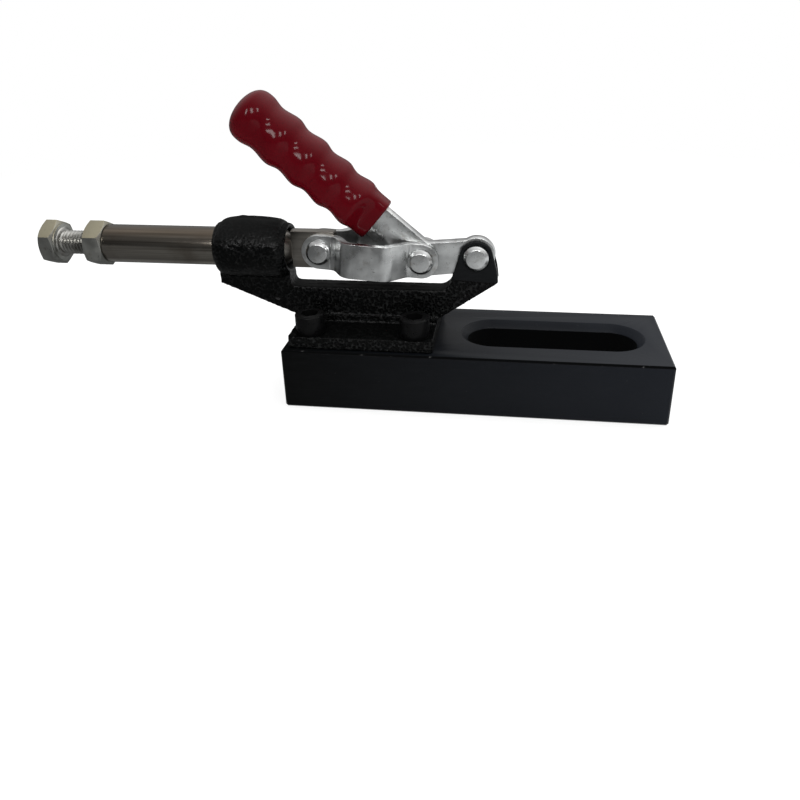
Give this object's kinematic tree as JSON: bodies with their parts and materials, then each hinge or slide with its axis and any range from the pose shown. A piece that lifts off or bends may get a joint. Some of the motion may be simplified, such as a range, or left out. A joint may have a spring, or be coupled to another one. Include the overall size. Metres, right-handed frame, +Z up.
{
  "type": "toggle clamp",
  "caption": "Push-pull toggle clamp with a red grip, bulged side links and an adjustable spindle, screwed to a slotted steel riser block.",
  "frame": {"origin": "underside of the riser block, below the middle of the clamp's four screws", "axes": "+Z up, X along the plunger with its nose towards -X, Y across"},
  "size_m": [0.2586, 0.0508, 0.1216],
  "materials": {
    "black_oxide": "black-oxide bar, satin ground top, fine mill grain",
    "black_paint": "gloss black paint over a pebbled casting",
    "screw_black": "black-oxide screw",
    "ground_steel": "ground bar with a faint brown oil tint",
    "zinc": "bright zinc plate",
    "red_vinyl": "glossy dark red dipped vinyl"
  },
  "bodies": {
    "base": {"riser_block": "black_oxide", "clamp_body": "black_paint", "cap_screw_1": "screw_black", "cap_screw_2": "screw_black", "cap_screw_3": "screw_black", "cap_screw_4": "screw_black", "pivot_pin": "zinc"},
    "handle": {"handle": "zinc", "handle_grip": "red_vinyl", "link_pin": "zinc"},
    "links": {"link_front": "zinc", "link_rear": "zinc", "plunger_pin": "zinc"},
    "plunger": {"plunger": "ground_steel"},
    "spindle": {"spindle_bolt": "zinc"},
    "lock_nut": {"lock_nut": "zinc"}
  },
  "joints": [
    {"name": "handle_swing", "type": "hinge", "parent": "base", "child": "handle", "pos_m": [0.04455, 0, 0.0591], "axis": [0, 1, 0], "range_deg": [0, 165]},
    {"name": "link_swing", "type": "hinge", "parent": "handle", "child": "links", "pos_m": [0.02268, 0, 0.0572], "axis": [0, 1, 0], "range_deg": [-178.13, 0]},
    {"name": "plunger_slide", "type": "slide", "parent": "base", "child": "plunger", "axis": [1, 0, 0], "range_m": [0, 0.04295]},
    {"name": "spindle_feed", "type": "slide", "parent": "plunger", "child": "spindle", "axis": [-1, 0, 0], "range_m": [-0.012, 0.015]},
    {"name": "lock_nut_turn", "type": "hinge", "parent": "plunger", "child": "lock_nut", "pos_m": [-0.114, 0, 0.06], "axis": [1, 0, 0], "continuous": true}
  ],
  "couplings": [
    {"joint": "link_swing", "follows": "handle_swing", "ratio": -1.0792},
    {"joint": "plunger_slide", "follows": "handle_swing", "m_per_rad": 0.014908}
  ]
}
